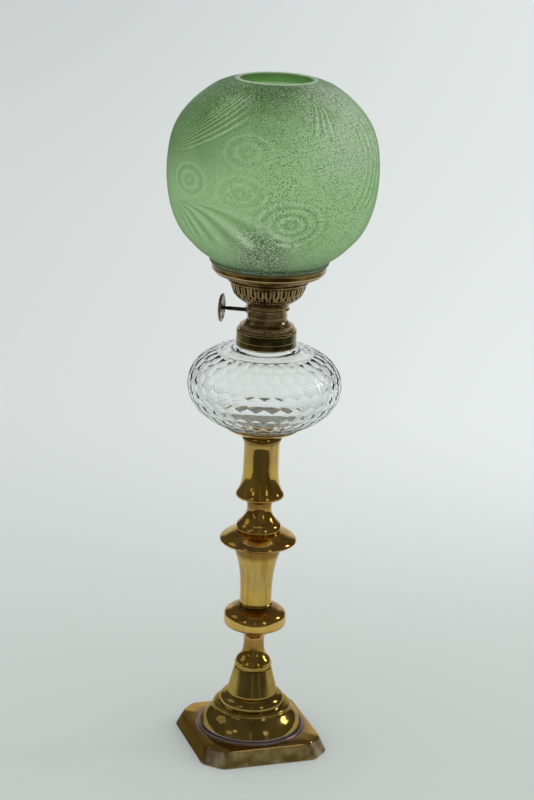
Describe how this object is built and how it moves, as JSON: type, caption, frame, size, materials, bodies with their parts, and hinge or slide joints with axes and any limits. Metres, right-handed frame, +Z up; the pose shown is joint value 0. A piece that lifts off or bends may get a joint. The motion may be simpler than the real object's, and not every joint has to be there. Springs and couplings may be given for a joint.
{
  "type": "peg_lamp",
  "caption": "Peg oil lamp: turned brass candlestick on a square foot, faceted clear glass font on a peg, flat-wick burner with pierced basket and side winder, green moulded ball shade",
  "frame": {"origin": "Centre of the underside of the candlestick's foot, on the surface it stands on", "axes": "+Z up along the axis of the turned stem; the sides of the square foot lie along X and Y; the winder wheel is towards -X and +Y"},
  "size_m": [0.1558, 0.1558, 0.5208],
  "materials": {
    "brass": null,
    "dark_brass": null,
    "steel": null,
    "clear_glass": null,
    "green_glass": null,
    "plaster": null,
    "leather": null,
    "cotton": null
  },
  "bodies": {
    "candlestick": {"candlestick_base": "brass", "base_washer": "steel", "base_nut": "steel", "candlestick_stem": "brass", "candle_nozzle": "brass"},
    "lamp": {"lamp_peg": "brass", "peg_dish": "brass", "peg_cement": "plaster", "font_glass": "clear_glass", "collar_cement": "plaster", "collar": "dark_brass"},
    "washer": {"sealing_washer": "leather"},
    "burner": {"burner_body": "dark_brass", "wick_tube": "dark_brass", "winder_bush": "dark_brass", "gallery_basket": "dark_brass", "basket_rim": "dark_brass", "air_plate": "dark_brass", "flame_dome": "dark_brass", "chimney_holder": "dark_brass", "shade_ring": "dark_brass"},
    "winder": {"winder_spindle": "dark_brass", "wick_cog_inner": "dark_brass", "wick_cog_outer": "dark_brass", "winder_wheel": "dark_brass"},
    "wick": {"wick": "cotton"},
    "shade": {"shade_glass": "green_glass"}
  },
  "joints": [
    {"name": "lamp_lift", "type": "slide", "parent": "candlestick", "child": "lamp", "axis": [0, 0, 1], "range_m": [0, 0.06]},
    {"name": "burner_rise", "type": "slide", "parent": "lamp", "child": "washer", "axis": [0, 0, 1], "range_m": [0, 0.0073]},
    {"name": "burner_unscrew", "type": "hinge", "parent": "washer", "child": "burner", "pos_m": [0, 0, 0.335], "axis": [0, 0, 1], "range_deg": [0, 1440]},
    {"name": "winder_spin", "type": "hinge", "parent": "burner", "child": "winder", "pos_m": [0.0021, 0.0039, 0.345], "axis": [-0.8805, 0.4741, 0], "range_deg": [-34, 138]},
    {"name": "wick_raise", "type": "slide", "parent": "burner", "child": "wick", "axis": [0, 0, 1], "range_m": [-0.0022, 0.0085]},
    {"name": "shade_lift", "type": "slide", "parent": "burner", "child": "shade", "axis": [0, 0, 1], "range_m": [0, 0.06]}
  ],
  "couplings": [
    {"joint": "burner_rise", "follows": "burner_unscrew", "m_per_rad": 0.00028648},
    {"joint": "wick_raise", "follows": "winder_spin", "m_per_rad": 0.0035}
  ]
}
